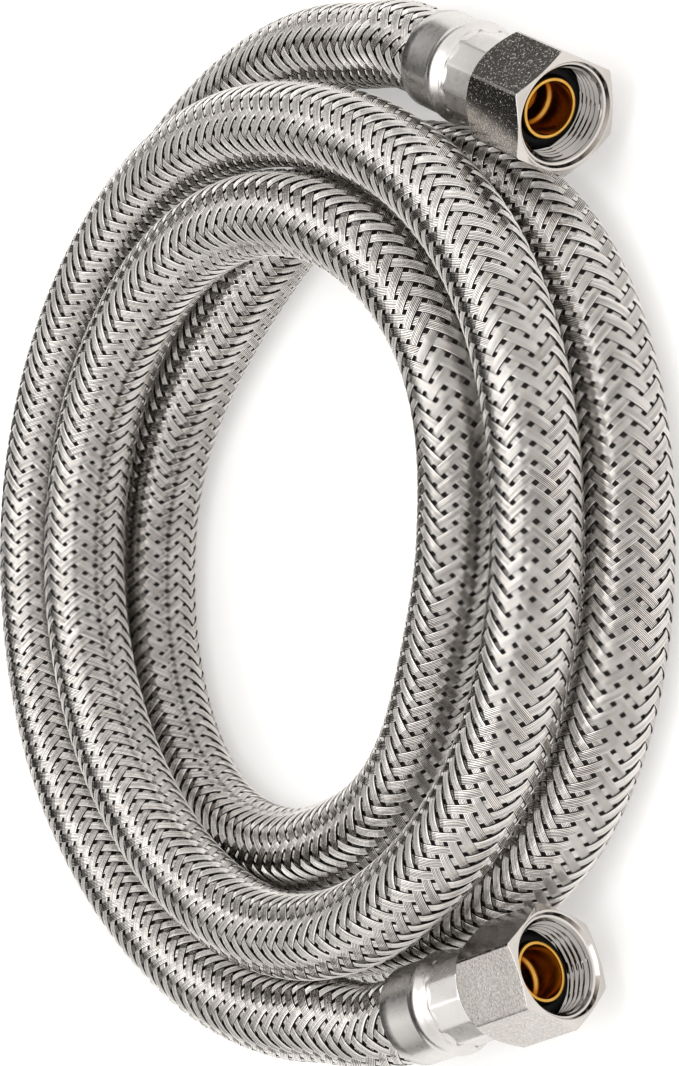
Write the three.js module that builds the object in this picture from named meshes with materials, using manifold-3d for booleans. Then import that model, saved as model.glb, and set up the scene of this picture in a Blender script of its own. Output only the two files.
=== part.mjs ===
// A braided stainless-steel supply line with a swivelling compression nut on each end, lying flat
// in a loose coil of three and two-thirds turns. Millimetres, +Z up; the line rests on z = 0.
import * as THREE from 'three';
import { mergeVertices } from 'three/addons/utils/BufferGeometryUtils.js';
import Module from 'manifold-3d';

const wasm = await Module();
wasm.setup();

// ---- driving dimensions -------------------------------------------------------------------
const BRAID_OUTER_RADIUS = 7.0;        // the hose is 14 mm across the braid
const BRAID_INNER_RADIUS = 5.95;
const LINER_OUTER_RADIUS = 5.5;
const LINER_INNER_RADIUS = 4.6;        // about 3/8 inch of bore
const HOSE_SIDES = 10;
const HOSE_STEPS = 84;
const GAP = 0.35;                      // between pieces that touch on the real line

// Along a fitting, depth is measured back from the mouth of its nut.
const NUT_ACROSS_FLATS = 17.3;         // takes an 11/16 inch spanner
const NUT_LENGTH = 14.2;
const NUT_CHAMFER_DEPTH = 0.6;         // takes the corners off its front face
const NUT_BEVEL_LENGTH = 2.2;          // turned bevel behind the flats
const NUT_BORE_RADIUS = 6.75;          // crests of the 9/16-24 thread
const NUT_MOUTH_RADIUS = 8.2;         // the thread's countersink leaves a thin front face
const NUT_WALL_DEPTH = 9.0;            // front of the nut's back wall
const NECK_RADIUS = 4.7;               // of the insert, where it passes the nut's back wall
const INSERT_RIM_DEPTH = 4.0;
const INSERT_RIM_RADIUS = 4.75;
const INSERT_MOUTH_BORE = 4.15;
const INSERT_BORE_RADIUS = 3.0;
const INSERT_STEP_DEPTH = 9.4;
const FLANGE_FRONT_DEPTH = 7.5;
const FLANGE_RADIUS = 6.2;
const TAIL_START_DEPTH = 16.2;
const TAIL_END_DEPTH = 30.0;
const TAIL_RADIUS = 3.7;
const BARB_RADIUS = 4.05;
const BARB_COUNT = 4;
const SEAL_FRONT_DEPTH = 5.0;
const SEAL_OUTER_RADIUS = 6.35;
const FERRULE_FRONT_DEPTH = NUT_LENGTH + GAP;
const FERRULE_END_DEPTH = 33.0;        // the hose enters the ferrule here
const CRIMP_START_DEPTH = 15.2;
const CRIMP_END_DEPTH = 22.2;
const CRIMP_ACROSS_FLATS = 14.3;
const CRIMP_FLATS = 12;
const FERRULE_BAND_RADIUS = 7.9;
const FERRULE_RIDGE_RADIUS = 8.3;
const HOSE_END_DEPTH = 16.8;           // liner and braid end here, inside the ferrule
const SQUEEZE_DEPTH = 25.6;            // in front of this the crimp squeezes the braid

// ---- where the line lies ------------------------------------------------------------------
// The coil is a loose spiral about a centre. Each station is an angle in degrees, counterclockwise
// from +X, the distance of the hose's middle from that centre, and its height above the floor.
// The first and last stations only steer the curve at its ends.
const COIL_CENTRE = [-0.7, -18.1];
const STATION_STEP = 45;
const STATIONS = [
  [-45, 65.0, 12.0],
  [0, 79.0, 9.5], [45, 86.0, 7.5], [90, 98.0, 7.1], [135, 82.0, 7.1],
  [180, 65.5, 7.1], [225, 64.5, 7.1], [270, 61.5, 7.1], [315, 63.5, 7.1],
  [360, 59.0, 7.1], [405, 55.0, 7.1], [450, 62.5, 7.1], [495, 65.0, 7.1],
  [540, 46.5, 8.0], [585, 29.5, 10.0], [630, 30.0, 13.5], [675, 42.0, 18.0],
  [720, 51.0, 21.5], [765, 58.3, 22.2], [810, 63.0, 22.0], [855, 64.0, 22.5],
  [900, 64.0, 22.5], [945, 59.0, 21.2], [990, 56.4, 20.6], [1035, 61.2, 21.3],
  [1080, 65.5, 21.5], [1125, 76.0, 19.0], [1170, 84.0, 18.0], [1215, 79.0, 21.5],
  [1260, 77.5, 18.0],
  [1305, 63.0, 11.0],
];
const POINTS_PER_STATION = 3;          // 24 points to each turn

// The hose leaves each ferrule at hoseExit, measured from the coil's centre. The fitting points
// along its azimuth and tilt, and its nut is turned by roll about its own axis.
const FIRST_END = { hoseExit: [74.1, -23.5, 12.0], azimuth: 249, tilt: 2, roll: 47.5 };
const SECOND_END = { hoseExit: [-74.8, -21.8, 15.5], azimuth: 289, tilt: -4, roll: 37 };
const STRAIGHT_RUN = 7.0;              // the hose runs straight this far out of a ferrule

// ---- materials ----------------------------------------------------------------------------
const metal = (color, roughness) => new THREE.MeshStandardMaterial({ color, roughness, metalness: 1 });
const BRAID_STEEL = metal(0xc9c8c4, 0.35);
const FERRULE_STEEL = metal(0xd3d1cc, 0.2);
const NUT_PLATE = metal(0xc4bfb6, 0.3);
const BRASS = metal(0xc8933a, 0.3);
const SEAL_RUBBER = new THREE.MeshStandardMaterial({ color: 0x101010, roughness: 0.6 });
const LINER_PLASTIC = new THREE.MeshStandardMaterial({ color: 0xdedbd2, roughness: 0.5 });

// ---- solids -------------------------------------------------------------------------------
function toSolid(geometry) {
  geometry.deleteAttribute('normal');
  geometry.deleteAttribute('uv');
  const merged = mergeVertices(geometry, 1e-4);
  return new wasm.Manifold(new wasm.Mesh({
    numProp: 3,
    vertProperties: new Float32Array(merged.attributes.position.array),
    triVerts: new Uint32Array(merged.index.array),
  }));
}

function toGeometry(solid) {
  const { vertProperties, triVerts } = solid.getMesh();
  const geometry = new THREE.BufferGeometry();
  geometry.setAttribute('position', new THREE.BufferAttribute(new Float32Array(vertProperties), 3));
  geometry.setIndex(new THREE.BufferAttribute(new Uint32Array(triVerts), 1));
  geometry.computeVertexNormals();
  return geometry;
}

// A turned ring about local Z. The profile lists [radius, depth] anticlockwise and closes itself.
function turnedRing(profile, segments) {
  const points = profile.map(([radius, depth]) => new THREE.Vector2(radius, -depth));
  points.push(points[0].clone());
  const lathe = new THREE.LatheGeometry(points, segments);
  lathe.rotateX(Math.PI / 2);
  return toSolid(lathe);
}

// A prism about local Z with the given number of flats, a corner on local X.
function prism(acrossFlats, sides, frontDepth, backDepth) {
  const cornerRadius = acrossFlats / 2 / Math.cos(Math.PI / sides);
  const length = backDepth - frontDepth;
  const cylinder = new THREE.CylinderGeometry(cornerRadius, cornerRadius, length, sides);
  cylinder.rotateX(Math.PI / 2);
  cylinder.rotateZ(Math.PI / 2);
  cylinder.translate(0, 0, -(frontDepth + backDepth) / 2);
  return toSolid(cylinder);
}

// ---- the route of the hose ----------------------------------------------------------------
const END_FRAMES = [FIRST_END, SECOND_END].map(({ hoseExit, azimuth, tilt, roll }) => {
  const a = THREE.MathUtils.degToRad(azimuth);
  const t = THREE.MathUtils.degToRad(tilt);
  const direction = new THREE.Vector3(Math.cos(a) * Math.cos(t), Math.sin(a) * Math.cos(t), Math.sin(t));
  const exit = new THREE.Vector3(hoseExit[0] + COIL_CENTRE[0], hoseExit[1] + COIL_CENTRE[1], hoseExit[2]);
  const mouth = exit.clone().addScaledVector(direction, FERRULE_END_DEPTH);
  return { exit, mouth, direction, azimuth: a, tilt: t, roll: THREE.MathUtils.degToRad(roll) };
});

// A smooth curve through four evenly spaced values, from the second to the third.
function blend(before, from, to, after, t) {
  return 0.5 * (2 * from + (to - before) * t
    + (2 * before - 5 * from + 4 * to - after) * t * t
    + (3 * from - before - 3 * to + after) * t * t * t);
}

function coilPoint(angle) {
  const place = (angle - STATIONS[0][0]) / STATION_STEP;
  const i = Math.min(Math.max(Math.floor(place), 1), STATIONS.length - 3);
  const near = STATIONS.slice(i - 1, i + 3);
  const radius = blend(...near.map((station) => station[1]), place - i);
  const height = blend(...near.map((station) => station[2]), place - i);
  const turn = THREE.MathUtils.degToRad(angle);
  return new THREE.Vector3(
    COIL_CENTRE[0] + radius * Math.cos(turn),
    COIL_CENTRE[1] + radius * Math.sin(turn),
    height,
  );
}

// The short bend between a fitting and the coil, leaving both of them straight on.
function leadPoints(start, startDirection, finish, finishDirection, count) {
  const reach = start.distanceTo(finish);
  const points = [];
  for (let k = 1; k < count; k += 1) {
    const t = k / count;
    const point = start.clone().multiplyScalar(2 * t ** 3 - 3 * t ** 2 + 1);
    point.addScaledVector(startDirection, (t ** 3 - 2 * t ** 2 + t) * reach);
    point.addScaledVector(finish, -2 * t ** 3 + 3 * t ** 2);
    point.addScaledVector(finishDirection, (t ** 3 - t ** 2) * reach);
    points.push(point);
  }
  return points;
}

function hoseRoute() {
  const firstAngle = STATIONS[1][0];
  const lastAngle = STATIONS[STATIONS.length - 2][0];
  const step = STATION_STEP / POINTS_PER_STATION;
  const coil = [];
  for (let angle = firstAngle; angle <= lastAngle; angle += step) coil.push(coilPoint(angle));
  const heading = (from, to) => coilPoint(to).sub(coilPoint(from)).normalize();
  const [first, second] = END_FRAMES;
  const along = (end, distance) => end.exit.clone().addScaledVector(end.direction, distance);
  const inside = FERRULE_END_DEPTH - SQUEEZE_DEPTH;
  const firstBend = along(first, -STRAIGHT_RUN);
  const secondBend = along(second, -STRAIGHT_RUN);
  const leadIn = leadPoints(firstBend, first.direction.clone().negate(),
    coil[0], heading(firstAngle, firstAngle + 1), 3);
  const leadOut = leadPoints(coil[coil.length - 1], heading(lastAngle - 1, lastAngle),
    secondBend, second.direction, 3);
  return new THREE.CatmullRomCurve3([
    along(first, inside), first.exit, firstBend, ...leadIn,
    ...coil,
    ...leadOut, secondBend, second.exit, along(second, inside),
  ]);
}

const ROUTE = hoseRoute();
ROUTE.arcLengthDivisions = 2000;

// ---- the hose -----------------------------------------------------------------------------
function hoseTube(outerRadius, innerRadius) {
  const ring = (radius) => Array.from({ length: HOSE_SIDES }, (_, k) => {
    const angle = (2 * Math.PI * k) / HOSE_SIDES;
    return new THREE.Vector2(radius * Math.cos(angle), radius * Math.sin(angle));
  });
  const section = new THREE.Shape(ring(outerRadius));
  section.holes.push(new THREE.Path(ring(innerRadius).reverse()));
  return toSolid(new THREE.ExtrudeGeometry(section, {
    steps: HOSE_STEPS, extrudePath: ROUTE, bevelEnabled: false, curveSegments: 1,
  }));
}

// A fitting's own frame: the origin at the nut's mouth, local +Z out of it.
function endMatrix({ mouth, azimuth, tilt, roll }) {
  return new THREE.Matrix4().makeTranslation(mouth.x, mouth.y, mouth.z)
    .multiply(new THREE.Matrix4().makeRotationZ(azimuth))
    .multiply(new THREE.Matrix4().makeRotationY(Math.PI / 2 - tilt))
    .multiply(new THREE.Matrix4().makeRotationZ(roll));
}

function withEnds(tube, endProfile) {
  return END_FRAMES.reduce((solid, end) => {
    const piece = turnedRing(endProfile, 20).transform(endMatrix(end).elements);
    return solid.add(piece);
  }, tube);
}

// The braid, squeezed down where the crimp grips it.
function steelBraid() {
  const squeezedOuter = 6.3;
  const squeezedInner = 5.9;
  return withEnds(hoseTube(BRAID_OUTER_RADIUS, BRAID_INNER_RADIUS), [
    [squeezedInner, HOSE_END_DEPTH], [squeezedInner, SQUEEZE_DEPTH - 2],
    [6.1, SQUEEZE_DEPTH - 1], [6.1, SQUEEZE_DEPTH + 1],
    [6.6, SQUEEZE_DEPTH + 1], [6.6, SQUEEZE_DEPTH - 0.8],
    [squeezedOuter, SQUEEZE_DEPTH - 1.8], [squeezedOuter, HOSE_END_DEPTH],
  ]);
}

function innerTube() {
  return withEnds(hoseTube(LINER_OUTER_RADIUS, LINER_INNER_RADIUS), [
    [LINER_INNER_RADIUS, HOSE_END_DEPTH], [LINER_INNER_RADIUS, SQUEEZE_DEPTH + 1],
    [5.2, SQUEEZE_DEPTH + 1], [5.2, SQUEEZE_DEPTH - 0.5],
    [LINER_OUTER_RADIUS, SQUEEZE_DEPTH - 0.8], [LINER_OUTER_RADIUS, HOSE_END_DEPTH],
  ]);
}

// ---- one end fitting ----------------------------------------------------------------------
// Hexagon with turned ends, bored for the thread, with a wall behind that holds the insert's flange.
function couplingNut() {
  const cornerRadius = NUT_ACROSS_FLATS / Math.sqrt(3);
  const faceRadius = NUT_ACROSS_FLATS / 2 * 0.99;
  const holeRadius = NECK_RADIUS + GAP;
  const turned = turnedRing([
    [holeRadius, NUT_LENGTH], [holeRadius, NUT_WALL_DEPTH],
    [NUT_BORE_RADIUS, NUT_WALL_DEPTH], [NUT_BORE_RADIUS, NUT_MOUTH_RADIUS - NUT_BORE_RADIUS],
    [NUT_MOUTH_RADIUS, 0], [faceRadius, 0],
    [cornerRadius + 0.2, NUT_CHAMFER_DEPTH], [cornerRadius + 0.2, NUT_LENGTH - NUT_BEVEL_LENGTH],
    [8.2, NUT_LENGTH],
  ].reverse(), 36);
  return turned.intersect(prism(NUT_ACROSS_FLATS, 6, -1, NUT_LENGTH + 1));
}

// Brass nipple: a rim the water comes out of, a flange the nut pulls on, and a barbed tail.
function brassInsert() {
  const flangeBack = NUT_WALL_DEPTH - GAP;
  const profile = [
    [INSERT_MOUTH_BORE, INSERT_RIM_DEPTH], [INSERT_MOUTH_BORE, INSERT_STEP_DEPTH],
    [INSERT_BORE_RADIUS, INSERT_STEP_DEPTH + 0.6], [INSERT_BORE_RADIUS, TAIL_END_DEPTH],
    [TAIL_RADIUS, TAIL_END_DEPTH],
  ];
  const barbPitch = (TAIL_END_DEPTH - TAIL_START_DEPTH - 2) / BARB_COUNT;
  for (let k = 0; k < BARB_COUNT; k += 1) {
    const back = TAIL_END_DEPTH - 0.6 - k * barbPitch;
    profile.push([BARB_RADIUS, back - barbPitch * 0.6], [TAIL_RADIUS, back - barbPitch * 0.65]);
    if (k < BARB_COUNT - 1) profile.push([TAIL_RADIUS, back - barbPitch]);
  }
  profile.push(
    [TAIL_RADIUS, TAIL_START_DEPTH], [NECK_RADIUS, TAIL_START_DEPTH],
    [NECK_RADIUS, flangeBack], [FLANGE_RADIUS, flangeBack],
    [FLANGE_RADIUS, FLANGE_FRONT_DEPTH], [INSERT_RIM_RADIUS, FLANGE_FRONT_DEPTH],
    [INSERT_RIM_RADIUS, INSERT_RIM_DEPTH],
  );
  return turnedRing(profile, 24);
}

// Rubber ring round the insert's rim, squeezed against the mating fitting.
function rubberSeal() {
  const inner = INSERT_RIM_RADIUS + GAP;
  const back = FLANGE_FRONT_DEPTH - GAP;
  return turnedRing([
    [inner, SEAL_FRONT_DEPTH], [inner, back], [SEAL_OUTER_RADIUS, back],
    [SEAL_OUTER_RADIUS, SEAL_FRONT_DEPTH + 0.5], [SEAL_OUTER_RADIUS - 0.5, SEAL_FRONT_DEPTH],
  ], 24);
}

// Pressed steel sleeve: front wall, crimped flats, a rounded ridge and a plain band round the hose.
function crimpFerrule() {
  const holeRadius = NECK_RADIUS + GAP;
  const crimpInner = 6.3 + GAP;
  const bandInner = BRAID_OUTER_RADIUS + GAP;
  const crimpCorner = CRIMP_ACROSS_FLATS / 2 + 0.2;
  const ridgeDepth = 24.0;
  const sleeve = turnedRing([
    [holeRadius, FERRULE_FRONT_DEPTH], [holeRadius, TAIL_START_DEPTH - 0.6],
    [crimpInner, TAIL_START_DEPTH - 0.6], [crimpInner, CRIMP_END_DEPTH + 0.6],
    [bandInner, CRIMP_END_DEPTH + 1.6], [bandInner, FERRULE_END_DEPTH],
    [FERRULE_BAND_RADIUS, FERRULE_END_DEPTH], [FERRULE_BAND_RADIUS, ridgeDepth + 2.0],
    [FERRULE_RIDGE_RADIUS - 0.1, ridgeDepth + 1.0], [FERRULE_RIDGE_RADIUS, ridgeDepth],
    [FERRULE_RIDGE_RADIUS - 0.25, ridgeDepth - 1.0], [crimpCorner, CRIMP_END_DEPTH],
    [crimpCorner, CRIMP_START_DEPTH], [6.9, FERRULE_FRONT_DEPTH],
  ], 36);
  const flats = prism(CRIMP_ACROSS_FLATS, CRIMP_FLATS, FERRULE_FRONT_DEPTH - 1, CRIMP_END_DEPTH);
  const rest = turnedRing([
    [0.5, CRIMP_END_DEPTH - 0.01], [0.5, FERRULE_END_DEPTH + 1],
    [10, FERRULE_END_DEPTH + 1], [10, CRIMP_END_DEPTH - 0.01],
  ], 36);
  return sleeve.intersect(flats.add(rest));
}

// ---- assembly -----------------------------------------------------------------------------
function named(name, solid, material) {
  const mesh = new THREE.Mesh(toGeometry(solid), material);
  mesh.name = name;
  return mesh;
}

function endFitting(prefix, end) {
  const fitting = new THREE.Group();
  fitting.add(
    named(`${prefix}_coupling_nut`, couplingNut(), NUT_PLATE),
    named(`${prefix}_brass_insert`, brassInsert(), BRASS),
    named(`${prefix}_rubber_seal`, rubberSeal(), SEAL_RUBBER),
    named(`${prefix}_crimp_ferrule`, crimpFerrule(), FERRULE_STEEL),
  );
  fitting.applyMatrix4(endMatrix(end));
  return fitting;
}

const supplyLine = new THREE.Group();
supplyLine.add(
  named('steel_braid', steelBraid(), BRAID_STEEL),
  named('inner_tube', innerTube(), LINER_PLASTIC),
  endFitting('first', END_FRAMES[0]),
  endFitting('second', END_FRAMES[1]),
);

export default supplyLine;
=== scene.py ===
"""A braided stainless-steel supply line with a coupling nut on each end, lying in a loose coil.

Lengths are in millimetres and angles in degrees until a mesh is made, which is in metres.
The route of the hose and the main depths along a fitting repeat those of the CAD part.
"""

import bpy
import numpy as np
from mathutils import Matrix, Vector


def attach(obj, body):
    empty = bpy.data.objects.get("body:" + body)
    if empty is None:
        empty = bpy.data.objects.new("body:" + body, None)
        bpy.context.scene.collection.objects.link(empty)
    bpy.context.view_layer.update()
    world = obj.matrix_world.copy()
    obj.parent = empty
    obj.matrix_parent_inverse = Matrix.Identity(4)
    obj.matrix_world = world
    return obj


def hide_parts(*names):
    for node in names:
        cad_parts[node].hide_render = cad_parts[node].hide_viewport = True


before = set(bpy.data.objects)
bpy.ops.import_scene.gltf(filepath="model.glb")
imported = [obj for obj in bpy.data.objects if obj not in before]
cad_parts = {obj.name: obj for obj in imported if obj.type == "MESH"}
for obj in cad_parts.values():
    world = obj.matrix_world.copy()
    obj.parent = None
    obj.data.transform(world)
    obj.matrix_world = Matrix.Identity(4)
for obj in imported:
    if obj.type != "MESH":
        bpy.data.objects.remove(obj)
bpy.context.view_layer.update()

MM = 0.001

# ---- driving dimensions -----------------------------------------------------------------
BRAID_RADIUS = 6.81            # middle of the woven layer
INNER_HOSE_RADIUS = 6.3        # what shows through the holes of the braid

BANDS_EACH_WAY = 12
BAND_LAY = 32.2                # along the hose, for one turn of a band
BAND_WIDTH = 1.42
BAND_EDGE_DROP = 0.04          # a band's outermost wires lie this much lower
BAND_END_GAP = 3.0             # from a band's end to the end of the hose, inside the ferrule
WIRES_PER_BAND = 6
WIRE_PROFILE = (0.0, 0.8, 0.8)  # across one wire: the groove beside it, then its two shoulders
WIRE_CROWN = 0.13              # a shoulder of 1 would stand this far above the groove
WEAVE_RISE = 0.15              # a band rises and dips this far over and under the others
WEAVE_SQUARENESS = 2.2         # the higher, the longer it stays up before it dips
SAMPLES_PER_CROSSING = 3       # faces along a band for each band that it crosses
DULLEST_WIRE = 0.7             # of the brightest wire's colour

NUT_ACROSS_FLATS = 17.3
NUT_CORNER_RADIUS = 9.88
NUT_LENGTH = 14.2
NUT_BEVEL_LENGTH = 2.2
NUT_REAR_RADIUS = 8.2
NUT_FACE_RADIUS = 8.56
NUT_CHAMFER_DEPTH = 0.7
NUT_BORE_RADIUS = 6.75
NUT_MOUTH_RADIUS = 8.2
NUT_WALL_DEPTH = 9.0
NUT_HOLE_RADIUS = 5.05
THREAD_PITCH = 1.058           # 24 threads to the inch
THREAD_HEIGHT = 0.56
THREAD_START_DEPTH = 0.95

RIM_DEPTH = 4.0                # front of the brass rim, back from the nut's mouth
RIM_RADIUS = 4.75
RIM_BORE = 4.15
INSERT_STEP_DEPTH = 9.4        # the insert's bore narrows behind this
INSERT_BORE_RADIUS = 3.0
FLANGE_FRONT_DEPTH = 7.5
FLANGE_BACK_DEPTH = 8.65
FLANGE_RADIUS = 6.2
NECK_RADIUS = 4.7              # of the insert, where it passes the nut's back wall
TAIL_START_DEPTH = 16.2
TAIL_END_DEPTH = 24.0          # further in, the tail is out of sight inside the hose
TAIL_RADIUS = 3.7

SEAL_FRONT_DEPTH = 5.0
SEAL_BACK_DEPTH = 7.3
SEAL_OUTER_RADIUS = 6.5

FERRULE_FRONT_DEPTH = 14.55
FERRULE_WALL_DEPTH = 15.6      # back of its front wall
FERRULE_END_DEPTH = 33.0
FERRULE_BAND_RADIUS = 7.9
FERRULE_INNER_RADIUS = 7.3
RIDGE_BACK_DEPTH = 26.0        # the ridge between the smooth band and the crimp
RIDGE_LENGTH = 3.4
RIDGE_RISE = 0.42
RIDGE_DROP = 0.28              # its front foot ends this much lower, at the crimp
CRIMP_ACROSS_FLATS = 14.3
CRIMP_CORNER_RADIUS = 7.38
CRIMP_INNER_RADIUS = 6.65
CRIMP_END_DEPTH = 21.75        # in the middle of a flat
CRIMP_FLATS = 12
SQUEEZE_DEPTH = 25.6           # the hose is modelled up to here inside the ferrule
STRAIGHT_RUN = 7.0             # the hose runs straight this far out of a ferrule

# ---- where the line lies ----------------------------------------------------------------
# Each station is an angle round the coil, the distance of the hose's middle from the coil's
# centre, and its height. The first and last stations only steer the curve at its ends.
COIL_CENTRE = np.array([-0.7, -18.1, 0.0])
STATION_STEP = 45
COIL_POINT_STEP = 3.0          # degrees
LEAD_STEPS = 14                # between a fitting's straight run and the coil
STATIONS = np.array([
    [-45, 65.0, 12.0],
    [0, 79.0, 9.5], [45, 86.0, 7.5], [90, 98.0, 7.1], [135, 82.0, 7.1],
    [180, 65.5, 7.1], [225, 64.5, 7.1], [270, 61.5, 7.1], [315, 63.5, 7.1],
    [360, 59.0, 7.1], [405, 55.0, 7.1], [450, 62.5, 7.1], [495, 65.0, 7.1],
    [540, 46.5, 8.0], [585, 29.5, 10.0], [630, 30.0, 13.5], [675, 42.0, 18.0],
    [720, 51.0, 21.5], [765, 58.3, 22.2], [810, 63.0, 22.0], [855, 64.0, 22.5],
    [900, 64.0, 22.5], [945, 59.0, 21.2], [990, 56.4, 20.6], [1035, 61.2, 21.3],
    [1080, 65.5, 21.5], [1125, 76.0, 19.0], [1170, 84.0, 18.0], [1215, 79.0, 21.5],
    [1260, 77.5, 18.0],
    [1305, 63.0, 11.0],
])
# The hose leaves a ferrule at its exit, measured from the coil's centre. The fitting points along
# its azimuth and tilt, and its nut is turned by roll about its own axis.
FIRST_END = {"exit": (74.1, -23.5, 12.0), "azimuth": 249, "tilt": 2, "roll": 47.5}
SECOND_END = {"exit": (-74.8, -21.8, 15.5), "azimuth": 289, "tilt": -4, "roll": 37}


def end_frame(end):
    """The fitting's own frame: origin at the nut's mouth, local +Z out of it."""
    azimuth, tilt, roll = np.radians([end["azimuth"], end["tilt"], end["roll"]])
    direction = np.array([
        np.cos(azimuth) * np.cos(tilt), np.sin(azimuth) * np.cos(tilt), np.sin(tilt),
    ])
    leaves = COIL_CENTRE + end["exit"]
    mouth = leaves + direction * FERRULE_END_DEPTH
    turned = (Matrix.Rotation(azimuth, 4, "Z")
              @ Matrix.Rotation(np.pi / 2 - tilt, 4, "Y")
              @ Matrix.Rotation(roll, 4, "Z"))
    matrix = np.array(Matrix.Translation(mouth) @ turned)
    return {"leaves": leaves, "direction": direction, "matrix": matrix}


ENDS = {"first": end_frame(FIRST_END), "second": end_frame(SECOND_END)}


def blend(before, start, finish, after, t):
    """A smooth curve through four evenly spaced values, from the second to the third."""
    return 0.5 * (2 * start + (finish - before) * t
                  + (2 * before - 5 * start + 4 * finish - after) * t ** 2
                  + (3 * start - before - 3 * finish + after) * t ** 3)


def coil_point(angle):
    """The middle of the hose at an angle round the coil."""
    place = (angle - STATIONS[0, 0]) / STATION_STEP
    i = int(min(max(np.floor(place), 1), len(STATIONS) - 3))
    radius, height = blend(*STATIONS[i - 1:i + 3, 1:], place - i)
    turn = np.radians(angle)
    return COIL_CENTRE + [radius * np.cos(turn), radius * np.sin(turn), height]


def lead_points(start, start_way, finish, finish_way, count):
    """The short bend between a fitting and the coil, leaving both of them straight on."""
    reach = np.linalg.norm(finish - start)
    t = (np.arange(1, count) / count)[:, None]
    return ((2 * t ** 3 - 3 * t ** 2 + 1) * start + (t ** 3 - 2 * t ** 2 + t) * reach * start_way
            + (3 * t ** 2 - 2 * t ** 3) * finish + (t ** 3 - t ** 2) * reach * finish_way)


def hose_route():
    """Points every few millimetres down the middle of the hose."""
    angles = np.arange(STATIONS[1, 0], STATIONS[-2, 0] + 1, COIL_POINT_STEP)
    coil = np.array([coil_point(angle) for angle in angles])
    heading_in = coil_point(angles[0] + 1) - coil_point(angles[0])
    heading_out = coil_point(angles[-1]) - coil_point(angles[-1] - 1)
    first, second = ENDS["first"], ENDS["second"]
    straight = np.linspace(SQUEEZE_DEPTH - FERRULE_END_DEPTH, STRAIGHT_RUN, 6)[:, None]
    start = first["leaves"] - straight * first["direction"]
    finish = second["leaves"] - straight[::-1] * second["direction"]
    lead_in = lead_points(start[-1], -first["direction"], coil[0],
                          heading_in / np.linalg.norm(heading_in), LEAD_STEPS)
    lead_out = lead_points(coil[-1], heading_out / np.linalg.norm(heading_out), finish[0],
                           second["direction"], LEAD_STEPS)
    return np.vstack([start, lead_in, coil, lead_out, finish])


class Route:
    """The hose's middle line by distance, with two sideways directions that do not twist."""

    STEP = 0.5
    SMOOTHING = 7       # samples taken in on each side of a point

    def __init__(self, points):
        along = np.concatenate([[0], np.cumsum(np.linalg.norm(np.diff(points, axis=0), axis=1))])
        self.length = along[-1]
        count = int(self.length / self.STEP)
        self.distance = np.linspace(0, self.length, count)
        line = np.column_stack([np.interp(self.distance, along, points[:, k]) for k in range(3)])
        window = np.hanning(2 * self.SMOOTHING + 1)
        window /= window.sum()
        margins = ((self.SMOOTHING, self.SMOOTHING), (0, 0))
        padded = np.pad(line, margins, mode="reflect", reflect_type="odd")
        line = np.column_stack([np.convolve(padded[:, k], window, mode="valid") for k in range(3)])
        tangent = np.gradient(line, axis=0)
        tangent /= np.linalg.norm(tangent, axis=1)[:, None]
        side = np.zeros_like(line)
        side[0] = np.cross([0, 0, 1], tangent[0])
        side[0] /= np.linalg.norm(side[0])
        for k in range(1, count):
            level = side[k - 1] - tangent[k] * (side[k - 1] @ tangent[k])
            side[k] = level / np.linalg.norm(level)
        self.line = line
        self.side = side
        self.up = np.cross(tangent, side)

    def at(self, distance, radius, angle):
        """The point at that distance down the hose, radius from its middle and angle round it."""
        def read(values):
            return np.stack([np.interp(distance, self.distance, values[:, k]) for k in range(3)], -1)
        cosine, sine = np.cos(angle)[..., None], np.sin(angle)[..., None]
        return read(self.line) + radius[..., None] * (cosine * read(self.side) + sine * read(self.up))


ROUTE = Route(hose_route())


# ---- meshes -----------------------------------------------------------------------------
def make_mesh(name, points, quads, caps=(), sharp_angle=None, values=None, flat=False):
    """An object of those points, four-sided faces and end caps. values go in its relief attribute."""
    mesh = bpy.data.meshes.new(name)
    corners = np.concatenate([quads.ravel(), *[np.asarray(cap) for cap in caps]])
    sizes = np.concatenate([np.full(len(quads), 4), [len(cap) for cap in caps]])
    starts = np.concatenate([[0], np.cumsum(sizes)[:-1]])
    mesh.vertices.add(len(points))
    mesh.vertices.foreach_set("co", (points * MM).astype(np.float32).ravel())
    mesh.loops.add(len(corners))
    mesh.loops.foreach_set("vertex_index", corners.astype(np.int32))
    mesh.polygons.add(len(sizes))
    mesh.polygons.foreach_set("loop_start", starts.astype(np.int32))
    mesh.polygons.foreach_set("use_smooth", np.full(len(sizes), not flat))
    mesh.update(calc_edges=True)
    if sharp_angle:
        mesh.set_sharp_from_angle(angle=np.radians(sharp_angle))
    if values is not None:
        finish_and_shade = mesh.attributes.new("finish_and_shade", "FLOAT", "POINT")
        finish_and_shade.data.foreach_set("value", values.astype(np.float32).ravel())
    piece = bpy.data.objects.new(name, mesh)
    bpy.context.scene.collection.objects.link(piece)
    return piece


def finish_piece(piece, body, material, nodes=()):
    """Gives a piece its material, its body and the CAD nodes that it stands for."""
    piece.data.materials.append(material)
    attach(piece, body)
    if nodes:
        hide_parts(*nodes)
    return piece


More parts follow.
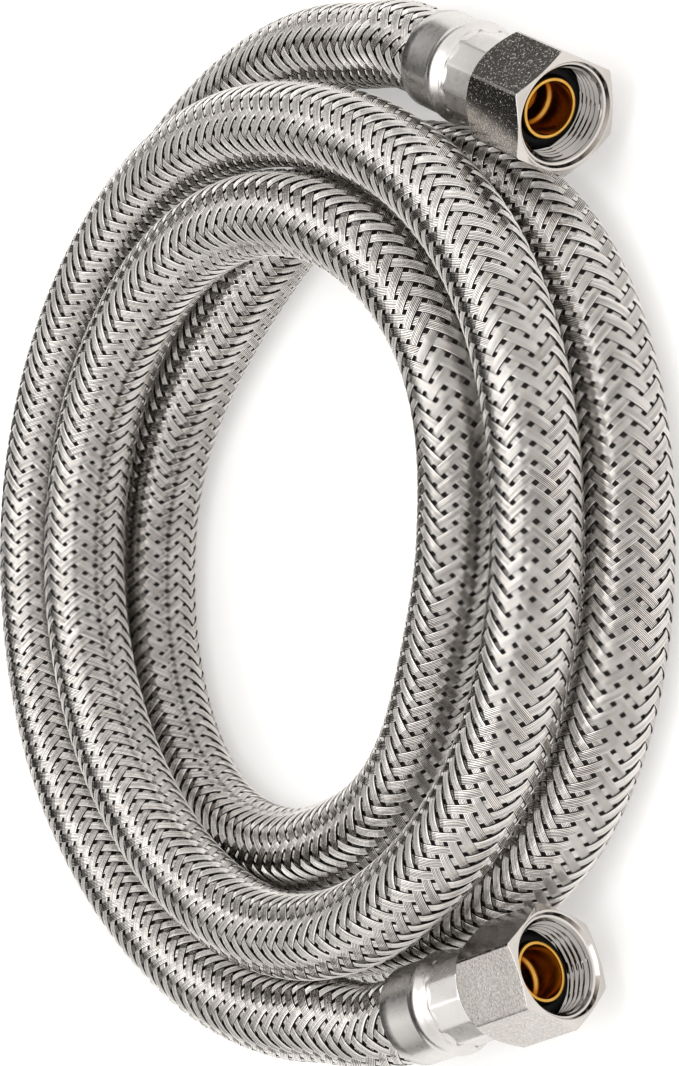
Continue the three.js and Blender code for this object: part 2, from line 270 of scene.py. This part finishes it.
def ring_mesh(name, rings, angles, matrix, sharp_angle=35, values=None):
    """A closed ring about a fitting's axis: each entry of rings is a depth and a radius."""
    cosine, sine = np.cos(angles), np.sin(angles)
    rows = []
    for depth, radius in rings:
        depth = np.broadcast_to(depth, angles.shape)
        radius = np.broadcast_to(radius, angles.shape)
        rows.append(np.column_stack([radius * cosine, radius * sine, -depth]))
    points = np.array(rows)
    count, around = points.shape[:2]
    i, j = np.meshgrid(np.arange(count), np.arange(around), indexing="ij")
    next_i, next_j = (i + 1) % count, (j + 1) % around
    quads = np.stack([i * around + j, i * around + next_j,
                      next_i * around + next_j, next_i * around + j], -1).reshape(-1, 4)
    flat = points.reshape(-1, 3)
    a, b, c, d = (flat[quads[:, k]] for k in range(4))
    # A negative volume means that the faces point inwards.
    if np.einsum("ij,ij->", a, np.cross(b, c)) + np.einsum("ij,ij->", a, np.cross(c, d)) < 0:
        quads = quads[:, ::-1]
    placed = flat @ matrix[:3, :3].T + matrix[:3, 3]
    if values is not None:
        values = np.repeat(values, around)
    return make_mesh(name, placed, quads, sharp_angle=sharp_angle, values=values)


def softened(profile, reach):
    """A closed outline of depth and radius corners with each corner rounded off."""
    most_of_side = 0.45
    profile = np.array(profile, dtype=float)
    previous, following = np.roll(profile, 1, axis=0), np.roll(profile, -1, axis=0)
    rounded = []
    for before, corner, after in zip(previous, profile, following):
        to_before, to_after = before - corner, after - corner
        back = to_before * min(reach / np.linalg.norm(to_before), most_of_side)
        on = to_after * min(reach / np.linalg.norm(to_after), most_of_side)
        for t in (0, 0.25, 0.5, 0.75, 1):
            rounded.append(corner + back * (1 - t) ** 2 + on * t ** 2)
    return [tuple(point) for point in rounded]


# ---- materials --------------------------------------------------------------------------
# Materials read a point attribute made with each mesh. On a band of braid it is how bright a wire is,
# falling to nothing in the grooves, where it paints shade between the wires. On a nut it says how the
# metal there was worked, and marks the bore for painted shade:
FORGED, TURNED, SHADED_BORE = 1.0, 0.0, -1.0


class Shader:
    """A material with a Principled shader and short ways of feeding it."""

    def __init__(self, name, metallic=0.0, roughness=0.5, color=(0.8, 0.8, 0.8)):
        self.material = bpy.data.materials.new(name)
        self.material.use_nodes = True
        self.tree = self.material.node_tree
        self.main = self.tree.nodes["Principled BSDF"]
        self.main.inputs["Metallic"].default_value = metallic
        self.main.inputs["Roughness"].default_value = roughness
        self.main.inputs["Base Color"].default_value = (*color, 1)
        self.place = self.tree.nodes.new("ShaderNodeTexCoord").outputs["Object"]

    def link(self, source, target):
        self.tree.links.new(source, target)

    def noise(self, scale, detail, roughness=0.5):
        node = self.tree.nodes.new("ShaderNodeTexNoise")
        node.inputs["Scale"].default_value = scale
        node.inputs["Detail"].default_value = detail
        node.inputs["Roughness"].default_value = roughness
        self.link(self.place, node.inputs["Vector"])
        return node.outputs["Fac"]

    def attribute(self, name):
        node = self.tree.nodes.new("ShaderNodeAttribute")
        node.attribute_name = name
        return node.outputs["Fac"]

    def spread(self, source, low, high, from_low=0.0, from_high=1.0):
        """Stretches from_low..from_high to low..high, and holds what lies outside at the ends."""
        node = self.tree.nodes.new("ShaderNodeMapRange")
        node.inputs["From Min"].default_value = from_low
        node.inputs["From Max"].default_value = from_high
        node.inputs["To Min"].default_value = low
        node.inputs["To Max"].default_value = high
        self.link(source, node.inputs["Value"])
        return node.outputs["Result"]

    def multiply(self, first, second):
        node = self.tree.nodes.new("ShaderNodeMath")
        node.operation = "MULTIPLY"
        self.link(first, node.inputs[0])
        self.link(second, node.inputs[1])
        return node.outputs["Value"]

    def ramp(self, source, *stops):
        node = self.tree.nodes.new("ShaderNodeValToRGB")
        elements = node.color_ramp.elements
        while len(elements) < len(stops):
            elements.new(0.5)
        for element, (position, color) in zip(elements, stops):
            element.position = position
            element.color = (*color, 1)
        self.link(source, node.inputs["Fac"])
        return node.outputs["Color"]

    def mottled(self, scale, detail, dark, light, edges=(0.3, 0.7)):
        """A colour that wanders between dark and light in patches."""
        return self.ramp(self.noise(scale, detail), (edges[0], dark), (edges[1], light))

    def mix(self, factor, first, second, kind="MIX"):
        node = self.tree.nodes.new("ShaderNodeMix")
        node.data_type = "RGBA"
        node.blend_type = kind
        for name, value in (("Factor", factor), ("A", first), ("B", second)):
            place = next(s for s in node.inputs if s.name == name
                         and s.type == ("VALUE" if name == "Factor" else "RGBA"))
            if isinstance(value, (int, float)):
                place.default_value = value
            elif isinstance(value, tuple):
                place.default_value = (*value, 1)
            else:
                self.link(value, place)
        return next(s for s in node.outputs if s.type == "RGBA")

    def color(self, source):
        self.link(source, self.main.inputs["Base Color"])

    def roughness(self, source):
        self.link(source, self.main.inputs["Roughness"])

    def bump(self, source, strength, depth_mm):
        node = self.tree.nodes.new("ShaderNodeBump")
        node.inputs["Strength"].default_value = strength
        node.inputs["Distance"].default_value = depth_mm * MM
        self.link(source, node.inputs["Height"])
        self.link(node.outputs["Normal"], self.main.inputs["Normal"])


def braid_material():
    """Bright drawn wire with painted shade darkening the grooves between the wires, and faint warm
    stains.
    """
    shader = Shader("braid_wire", metallic=1.0)
    stain = shader.mottled(220, 4, (0.83, 0.795, 0.755), (0.96, 0.925, 0.885), edges=(0.35, 0.62))
    # Painted shade: the colour falls almost to black in the grooves between the wires, and each wire
    # keeps its own tone.
    wire_tone_and_groove_shade = shader.spread(shader.attribute("finish_and_shade"), 0.05, 1.0, 0.05, 0.95)
    shader.color(shader.mix(1.0, stain, wire_tone_and_groove_shade, "MULTIPLY"))
    shader.roughness(shader.spread(shader.noise(400, 2), 0.15, 0.26))
    return shader.material


def inner_hose_material():
    """Dark rubber, seen only through the holes of the braid."""
    shader = Shader("inner_hose_rubber", roughness=0.55)
    shader.main.inputs["Specular IOR Level"].default_value = 0.2
    shader.color(shader.mottled(250, 3, (0.016, 0.013, 0.013), (0.035, 0.028, 0.027)))
    shader.roughness(shader.spread(shader.noise(600, 2), 0.45, 0.65))
    return shader.material


def nut_material():
    """Nickel plating: grainy on the forged flats, smooth where it was turned, with painted shade
    darkening the bore.
    """
    shader = Shader("nickel_plate", metallic=1.0)
    finish_and_shade = shader.attribute("finish_and_shade")
    forged = shader.spread(finish_and_shade, 0.0, 1.0, TURNED, FORGED)
    tone = shader.mottled(120, 4, (0.50, 0.47, 0.44), (0.58, 0.55, 0.52))
    # Painted shade: in the bore the plating's colour is darkened to 0.6.
    plated_with_bore_shade = shader.mix(1.0, tone, shader.spread(finish_and_shade, 0.6, 1.0, SHADED_BORE, TURNED), "MULTIPLY")
    dark_speck, no_speck = (0.75, 0.75, 0.75), (1.0, 1.0, 1.0)
    specks = shader.ramp(shader.noise(2600, 2, 0.6), (0.42, dark_speck), (0.58, no_speck))
    shader.color(shader.mix(forged, plated_with_bore_shade, shader.mix(1.0, plated_with_bore_shade, specks, "MULTIPLY")))
    shader.roughness(shader.spread(forged, 0.10, 0.15))
    grain = shader.spread(shader.noise(3000, 1), 0.0, 1.0, 0.63, 0.83)
    shader.bump(shader.multiply(grain, forged), 1.0, 0.04)
    return shader.material


def brass_material():
    shader = Shader("turned_brass", metallic=1.0)
    shader.color(shader.mottled(300, 3, (0.50, 0.26, 0.045), (0.66, 0.38, 0.09)))
    shader.roughness(shader.spread(shader.noise(800, 2), 0.15, 0.3))
    shader.bump(shader.noise(2500, 2), 0.1, 0.03)
    return shader.material


def seal_material():
    shader = Shader("seal_rubber_black", roughness=0.5)
    shader.main.inputs["Specular IOR Level"].default_value = 0.1
    shader.color(shader.mottled(500, 3, (0.003, 0.003, 0.003), (0.009, 0.009, 0.009)))
    shader.roughness(shader.spread(shader.noise(900, 2), 0.4, 0.6))
    shader.bump(shader.noise(3000, 2), 0.15, 0.03)
    return shader.material


def ferrule_material():
    """Pressed stainless steel, satin and a little uneven."""
    shader = Shader("ferrule_sheet_steel", metallic=1.0)
    shader.color(shader.mottled(100, 4, (0.56, 0.54, 0.52), (0.67, 0.65, 0.63)))
    shader.roughness(shader.spread(shader.noise(1200, 3), 0.20, 0.38))
    shader.bump(shader.noise(2600, 3, 0.6), 0.3, 0.012)
    return shader.material


MATERIALS = {
    "braid": braid_material(),
    "inner_hose": inner_hose_material(),
    "nut": nut_material(),
    "brass": brass_material(),
    "seal": seal_material(),
    "ferrule": ferrule_material(),
}

# ---- camera -----------------------------------------------------------------------------
CAMERA_ELEVATION = 37.19
CAMERA_DISTANCE = 589.1
CAMERA_TARGET = np.array([-0.44, 0.65, 0.0])
CAMERA_LENS = 118.85


def make_camera():
    """The camera lies on its side: the picture's top is towards +X."""
    elevation = np.radians(CAMERA_ELEVATION)
    sine, cosine = np.sin(elevation), np.cos(elevation)
    right = Vector((0, -sine, -cosine))
    top = Vector((1, 0, 0))
    backwards = Vector((0, -cosine, sine))
    place = Vector(CAMERA_TARGET * MM) + backwards * CAMERA_DISTANCE * MM
    camera = bpy.data.objects.new("camera", bpy.data.cameras.new("camera"))
    camera.matrix_world = Matrix((
        (right.x, top.x, backwards.x, place.x),
        (right.y, top.y, backwards.y, place.y),
        (right.z, top.z, backwards.z, place.z),
        (0, 0, 0, 1),
    ))
    camera.data.lens = CAMERA_LENS
    camera.data.clip_start = 0.01
    bpy.context.scene.collection.objects.link(camera)
    bpy.context.scene.camera = camera


make_camera()


# ---- the hose ---------------------------------------------------------------------------
def inner_hose():
    sides, step = 28, 2.0
    rings = int(ROUTE.length / step)
    distance = np.linspace(0, ROUTE.length, rings)[:, None].repeat(sides, 1)
    angle = np.linspace(0, 2 * np.pi, sides, endpoint=False)[None, :].repeat(rings, 0)
    points = ROUTE.at(distance, np.full_like(distance, INNER_HOSE_RADIUS), angle).reshape(-1, 3)
    i, j = np.meshgrid(np.arange(rings - 1), np.arange(sides), indexing="ij")
    next_j = (j + 1) % sides
    quads = np.stack([i * sides + j, i * sides + next_j,
                      (i + 1) * sides + next_j, (i + 1) * sides + j], -1).reshape(-1, 4)
    last = (rings - 1) * sides
    caps = [np.arange(sides)[::-1], last + np.arange(sides)]
    return make_mesh("inner_hose", points, quads, caps)


def braid_band(index, hand):
    """One flat band of wires, winding one way, over two of the others and under two."""
    spread = np.pi / BANDS_EACH_WAY
    slope = 2 * np.pi * BRAID_RADIUS / BAND_LAY
    lean = np.arctan(slope)
    crossing = BAND_LAY / (2 * BANDS_EACH_WAY)
    start, finish = BAND_END_GAP, ROUTE.length - BAND_END_GAP
    rows = int((finish - start) / crossing * SAMPLES_PER_CROSSING)
    steps = len(WIRE_PROFILE)
    across = steps * WIRES_PER_BAND + 1
    middle = np.linspace(start, finish, rows)[:, None]
    offset = np.linspace(-BAND_WIDTH / 2, BAND_WIDTH / 2, across)[None, :]
    distance = middle - hand * offset * np.sin(lean)
    home = index * 2 * spread
    angle = home + hand * middle * slope / BRAID_RADIUS + offset * np.cos(lean) / BRAID_RADIUS
    # The number of the band that crosses here, a whole number in the middle of each one.
    other = angle / (2 * spread) + hand * distance / BAND_LAY * BANDS_EACH_WAY
    order = index + other
    weave = np.sin(np.pi / 2 * (order + 0.5))
    lift = hand * WEAVE_RISE * np.tanh(WEAVE_SQUARENESS * weave) / np.tanh(WEAVE_SQUARENESS)
    crown = np.append(np.tile(WIRE_PROFILE, WIRES_PER_BAND), WIRE_PROFILE[0])
    edge = (2 * offset / BAND_WIDTH) ** 6
    radius = BRAID_RADIUS + lift + WIRE_CROWN * (crown - 0.5) - BAND_EDGE_DROP * edge
    drawn = np.random.default_rng(2 * index + (hand > 0))
    shine = drawn.uniform(DULLEST_WIRE, 1.0, WIRES_PER_BAND).repeat(steps)
    # How bright each wire is, falling to nothing in its grooves, where the braid material paints
    # shade.
    finish_and_shade = np.broadcast_to(crown / max(crown) * np.append(shine, 1.0), distance.shape)
    points = ROUTE.at(distance, radius, angle).reshape(-1, 3)
    i, j = np.meshgrid(np.arange(rows - 1), np.arange(across - 1), indexing="ij")
    top = np.stack([i * across + j, i * across + j + 1,
                    (i + 1) * across + j + 1, (i + 1) * across + j], -1).reshape(-1, 4)
    i = np.arange(rows - 1)
    under = np.stack([i * across, (i + 1) * across,
                      (i + 1) * across + across - 1, i * across + across - 1], -1)
    last = (rows - 1) * across
    caps = [np.arange(across)[::-1], last + np.arange(across)]
    name = f"braid_band_{'right' if hand > 0 else 'left'}_{index + 1:02d}"
    return make_mesh(name, points, np.vstack([top, under]), caps, values=finish_and_shade, flat=True)


# ---- the fittings -----------------------------------------------------------------------
def polygon_radius(angles, across_flats, sides, corner_radius):
    """Radius of a polygon with its corners turned off; a corner lies at angle 0."""
    from_flat = (angles % (2 * np.pi / sides)) - np.pi / sides
    return np.minimum(across_flats / 2 / np.cos(from_flat), corner_radius)


def fitting_angles(sides, steps):
    """Angles round a fitting, closer together by the corners of its flats."""
    crowding = 0.12
    along = np.linspace(-1, 1, steps, endpoint=False)
    eased = (along + crowding * np.sin(np.pi * along) + 1) / 2
    return np.concatenate([(k + eased) * 2 * np.pi / sides for k in range(sides)])


def nut_bore(angles):
    """The inside of a nut, from its back wall to the first turn of its thread."""
    rings = [
        (NUT_LENGTH, NUT_HOLE_RADIUS + 0.3), (NUT_LENGTH - 0.3, NUT_HOLE_RADIUS),
        (NUT_WALL_DEPTH, NUT_HOLE_RADIUS), (NUT_WALL_DEPTH, NUT_BORE_RADIUS + 0.2),
    ]
    countersink_slope, fade_length = 0.75, 1.5
    for depth in np.arange(NUT_WALL_DEPTH - 0.1, THREAD_START_DEPTH, -THREAD_PITCH / 8):
        turn = (depth / THREAD_PITCH - angles / (2 * np.pi)) % 1
        # A zigzag from 0 to 1 with its roots and crests cut flat.
        flank = np.clip(1.5 * (1 - np.abs(2 * turn - 1)) - 0.25, 0, 1)
        countersink = NUT_MOUTH_RADIUS - countersink_slope * depth
        fade = np.clip((NUT_WALL_DEPTH - depth) / fade_length, 0, 1)
        thread = NUT_BORE_RADIUS + THREAD_HEIGHT * flank * fade
        rings.append((depth, np.maximum(thread, countersink)))
    return rings


def coupling_nut(prefix, matrix):
    """A hexagonal nut. Cones meeting the hexagon near its corners turn off its front and back."""
    angles = fitting_angles(6, 28)
    outer = polygon_radius(angles, NUT_ACROSS_FLATS, 6, NUT_CORNER_RADIUS)
    cone_radius = NUT_ACROSS_FLATS / 3 ** 0.5 + 0.2
    mouth, face, back = NUT_MOUTH_RADIUS, NUT_FACE_RADIUS, NUT_REAR_RADIUS
    front = (outer - face) / (cone_radius - face) * NUT_CHAMFER_DEPTH
    rear = NUT_LENGTH - (outer - back) / (cone_radius - back) * NUT_BEVEL_LENGTH
    sections = (
        # The bore is marked for painted shade in the nut's material.
        (SHADED_BORE, nut_bore(angles)),
        (TURNED, [
            (THREAD_START_DEPTH - 0.1, 7.58), (0.75, 7.85), (0.3, mouth - 0.14), (0.1, mouth - 0.05),
            (0.0, mouth + 0.05), (0.0, face - 0.05), (0.04, face + 0.01), (front - 0.02, outer - 0.05),
        ]),
        (FORGED, [
            (front + 0.08, outer), (front + 0.3, outer), (rear - 0.3, outer), (rear - 0.1, outer),
        ]),
        (TURNED, [
            (rear + 0.05, outer - 0.06), (NUT_LENGTH - 0.1, back + 0.05), (NUT_LENGTH, back - 0.15),
        ]),
    )
    rings = [ring for finish_and_shade, section in sections for ring in section]
    reliefs = [finish_and_shade for finish_and_shade, section in sections for ring in section]
    return ring_mesh(f"{prefix}_nut_threaded", rings, angles, matrix, 18, reliefs)


def brass_insert(prefix, matrix):
    """The brass insert: a rim in front, a flange behind the seal, a neck and a tail in the hose."""
    profile = softened([
        (RIM_DEPTH, RIM_BORE), (INSERT_STEP_DEPTH, RIM_BORE), (9.9, 3.55), (12.4, 3.5),
        (13.0, INSERT_BORE_RADIUS), (TAIL_END_DEPTH, INSERT_BORE_RADIUS),
        (TAIL_END_DEPTH, TAIL_RADIUS), (TAIL_START_DEPTH, TAIL_RADIUS),
        (TAIL_START_DEPTH, NECK_RADIUS), (FLANGE_BACK_DEPTH, NECK_RADIUS),
        (FLANGE_BACK_DEPTH, FLANGE_RADIUS), (FLANGE_FRONT_DEPTH, FLANGE_RADIUS),
        (FLANGE_FRONT_DEPTH, RIM_RADIUS), (RIM_DEPTH, RIM_RADIUS),
    ], 0.2)
    angles = np.linspace(0, 2 * np.pi, 72, endpoint=False)
    return ring_mesh(f"{prefix}_insert_turned", profile, angles, matrix)


def rubber_seal(prefix, matrix):
    inner, outer = RIM_RADIUS + 0.12, SEAL_OUTER_RADIUS
    profile = softened([
        (SEAL_FRONT_DEPTH, inner), (SEAL_BACK_DEPTH, inner), (SEAL_BACK_DEPTH, outer),
        (SEAL_FRONT_DEPTH + 0.4, outer), (SEAL_FRONT_DEPTH, outer - 0.45),
    ], 0.35)
    angles = np.linspace(0, 2 * np.pi, 72, endpoint=False)
    return ring_mesh(f"{prefix}_seal_ring", profile, angles, matrix)


def crimp_ferrule(prefix, matrix):
    """The ferrule, from its front wall down the inside, then back up the band, ridge and crimp."""
    angles = fitting_angles(CRIMP_FLATS, 10)
    flats = polygon_radius(angles, CRIMP_ACROSS_FLATS, CRIMP_FLATS, CRIMP_CORNER_RADIUS)
    scallop = CRIMP_END_DEPTH + (flats - CRIMP_ACROSS_FLATS / 2) * 2.6
    front, wall, end = FERRULE_FRONT_DEPTH, FERRULE_WALL_DEPTH, FERRULE_END_DEPTH
    band, inside = FERRULE_BAND_RADIUS, FERRULE_INNER_RADIUS
    rings = [
        (front, 5.1), (wall, 5.05), (wall, CRIMP_INNER_RADIUS), (22.8, CRIMP_INNER_RADIUS),
        (23.8, inside), (end, inside), (end + 0.02, 7.55), (end - 0.08, band - 0.1),
        (end - 0.25, band), (31.0, band), (29.0, band), (27.0, band), (26.2, band + 0.02),
    ]
    for t in np.linspace(0, 1, 13):
        swell = np.sin(np.pi * min(t * 1.05, 1)) ** 1.2
        foot = max(0, t - 0.55) / 0.45
        rings.append((RIDGE_BACK_DEPTH - RIDGE_LENGTH * t,
                      band + 0.02 + RIDGE_RISE * swell - RIDGE_DROP * foot))
    rings += [
        (22.35, 7.62), (22.1 + (scallop - 21.9) * 0.4, flats + 0.22), (scallop, flats + 0.05),
        (scallop - 0.3, flats), (wall, flats), (wall - 0.5, flats - 0.06), (front + 0.15, 6.98),
        (front, 6.75),
    ]
    return ring_mesh(f"{prefix}_ferrule_pressed", rings, angles, matrix)


FITTING_PARTS = (
    (coupling_nut, "coupling_nut", "nut_plate", "nut"),
    (brass_insert, "brass_insert", "insert_brass", "brass"),
    (rubber_seal, "rubber_seal", "seal_rubber", "seal"),
    (crimp_ferrule, "crimp_ferrule", "ferrule_steel", "ferrule"),
)


def fitting(prefix):
    pieces = []
    for build, node, slot, look in FITTING_PARTS:
        piece = build(prefix, ENDS[prefix]["matrix"])
        body = f"{prefix}_nut" if build is coupling_nut else "hose"
        pieces.append(finish_piece(piece, body, MATERIALS[look], [f"{prefix}_{node}"]))
    return pieces


hose = finish_piece(inner_hose(), "hose", MATERIALS["inner_hose"], ["inner_tube"])
first_pieces = fitting("first")
second_pieces = fitting("second")
for band in range(BANDS_EACH_WAY):
    for way in (1, -1):
        finish_piece(braid_band(band, way), "hose", MATERIALS["braid"], ["steel_braid"])


# ---- floor and light --------------------------------------------------------------------
BRIGHT_SIDE = (0.0, -0.5, 0.87)     # the studio is brightest overhead, towards the camera
SIDE_PANELS = (0.3, 0.0, 0.0)       # and lighter towards +X and -X than it is behind
BRIGHTNESS = (                      # from the dark side round to the bright one
    (0.0, 0.03), (0.12, 0.12), (0.22, 0.38), (0.32, 0.95), (0.5, 1.4), (0.7, 1.2), (1.0, 1.05),
)
BACKDROP_COLOR = (0.93, 0.93, 0.925, 1)     # seen beyond the floor from a low view


def floor():
    """A pale floor. It glows a little, so that it looks white and its shadows stay faint."""
    half = 3000.0
    corners = np.array([[-half, -half, 0], [half, -half, 0], [half, half, 0], [-half, half, 0]])
    plane = make_mesh("floor", corners, np.array([[0, 1, 2, 3]]))
    shader = Shader("pale_floor", roughness=0.6, color=(0.74, 0.735, 0.73))
    shader.main.inputs["Emission Color"].default_value = (1, 0.99, 0.98, 1)
    shader.main.inputs["Emission Strength"].default_value = 0.40
    plane.data.materials.append(shader.material)


def soft_box(name, place, towards, size, watts):
    """A rectangular light, placed and sized in metres."""
    light = bpy.data.lights.new(name, "AREA")
    light.shape = "RECTANGLE"
    light.size, light.size_y = size
    light.energy = watts
    lamp = bpy.data.objects.new(name, light)
    lamp.location = place
    lamp.rotation_mode = "QUATERNION"
    lamp.rotation_quaternion = (Vector(towards) - Vector(place)).to_track_quat("-Z", "Y")
    bpy.context.scene.collection.objects.link(lamp)


def studio():
    """Light that depends on where it comes from, and a plain backdrop where the camera sees it."""
    world = bpy.data.worlds.new("studio")
    world.use_nodes = True
    tree = world.node_tree
    place = tree.nodes.new("ShaderNodeTexCoord")
    lean = tree.nodes.new("ShaderNodeVectorMath")
    lean.operation = "DOT_PRODUCT"
    lean.inputs[1].default_value = BRIGHT_SIDE
    squared = tree.nodes.new("ShaderNodeVectorMath")
    squared.operation = "MULTIPLY"
    sides = tree.nodes.new("ShaderNodeVectorMath")
    sides.operation = "DOT_PRODUCT"
    sides.inputs[1].default_value = SIDE_PANELS
    both = tree.nodes.new("ShaderNodeMath")
    ramp = tree.nodes.new("ShaderNodeValToRGB")
    while len(ramp.color_ramp.elements) < len(BRIGHTNESS):
        ramp.color_ramp.elements.new(0.5)
    for element, (position, level) in zip(ramp.color_ramp.elements, BRIGHTNESS):
        element.position = position
        element.color = (level, level * 0.99, level * 0.98, 1)
    tree.links.new(place.outputs["Generated"], lean.inputs[0])
    tree.links.new(place.outputs["Generated"], squared.inputs[0])
    tree.links.new(place.outputs["Generated"], squared.inputs[1])
    tree.links.new(squared.outputs["Vector"], sides.inputs[0])
    tree.links.new(lean.outputs["Value"], both.inputs[0])
    tree.links.new(sides.outputs["Value"], both.inputs[1])
    tree.links.new(both.outputs["Value"], ramp.inputs["Fac"])
    lighting = tree.nodes["Background"]
    tree.links.new(ramp.outputs["Color"], lighting.inputs["Color"])
    backdrop = tree.nodes.new("ShaderNodeBackground")
    backdrop.inputs["Color"].default_value = BACKDROP_COLOR
    seen = tree.nodes.new("ShaderNodeMixShader")
    tree.links.new(tree.nodes.new("ShaderNodeLightPath").outputs["Is Camera Ray"], seen.inputs[0])
    tree.links.new(lighting.outputs["Background"], seen.inputs[1])
    tree.links.new(backdrop.outputs["Background"], seen.inputs[2])
    tree.links.new(seen.outputs["Shader"], tree.nodes["World Output"].inputs["Surface"])
    bpy.context.scene.world = world
    soft_box("top_box", (0.0, 0.1, 1.0), (0, 0, 0), (1.1, 1.0), 4)


floor()
studio()
bpy.context.scene.view_settings.view_transform = "Standard"
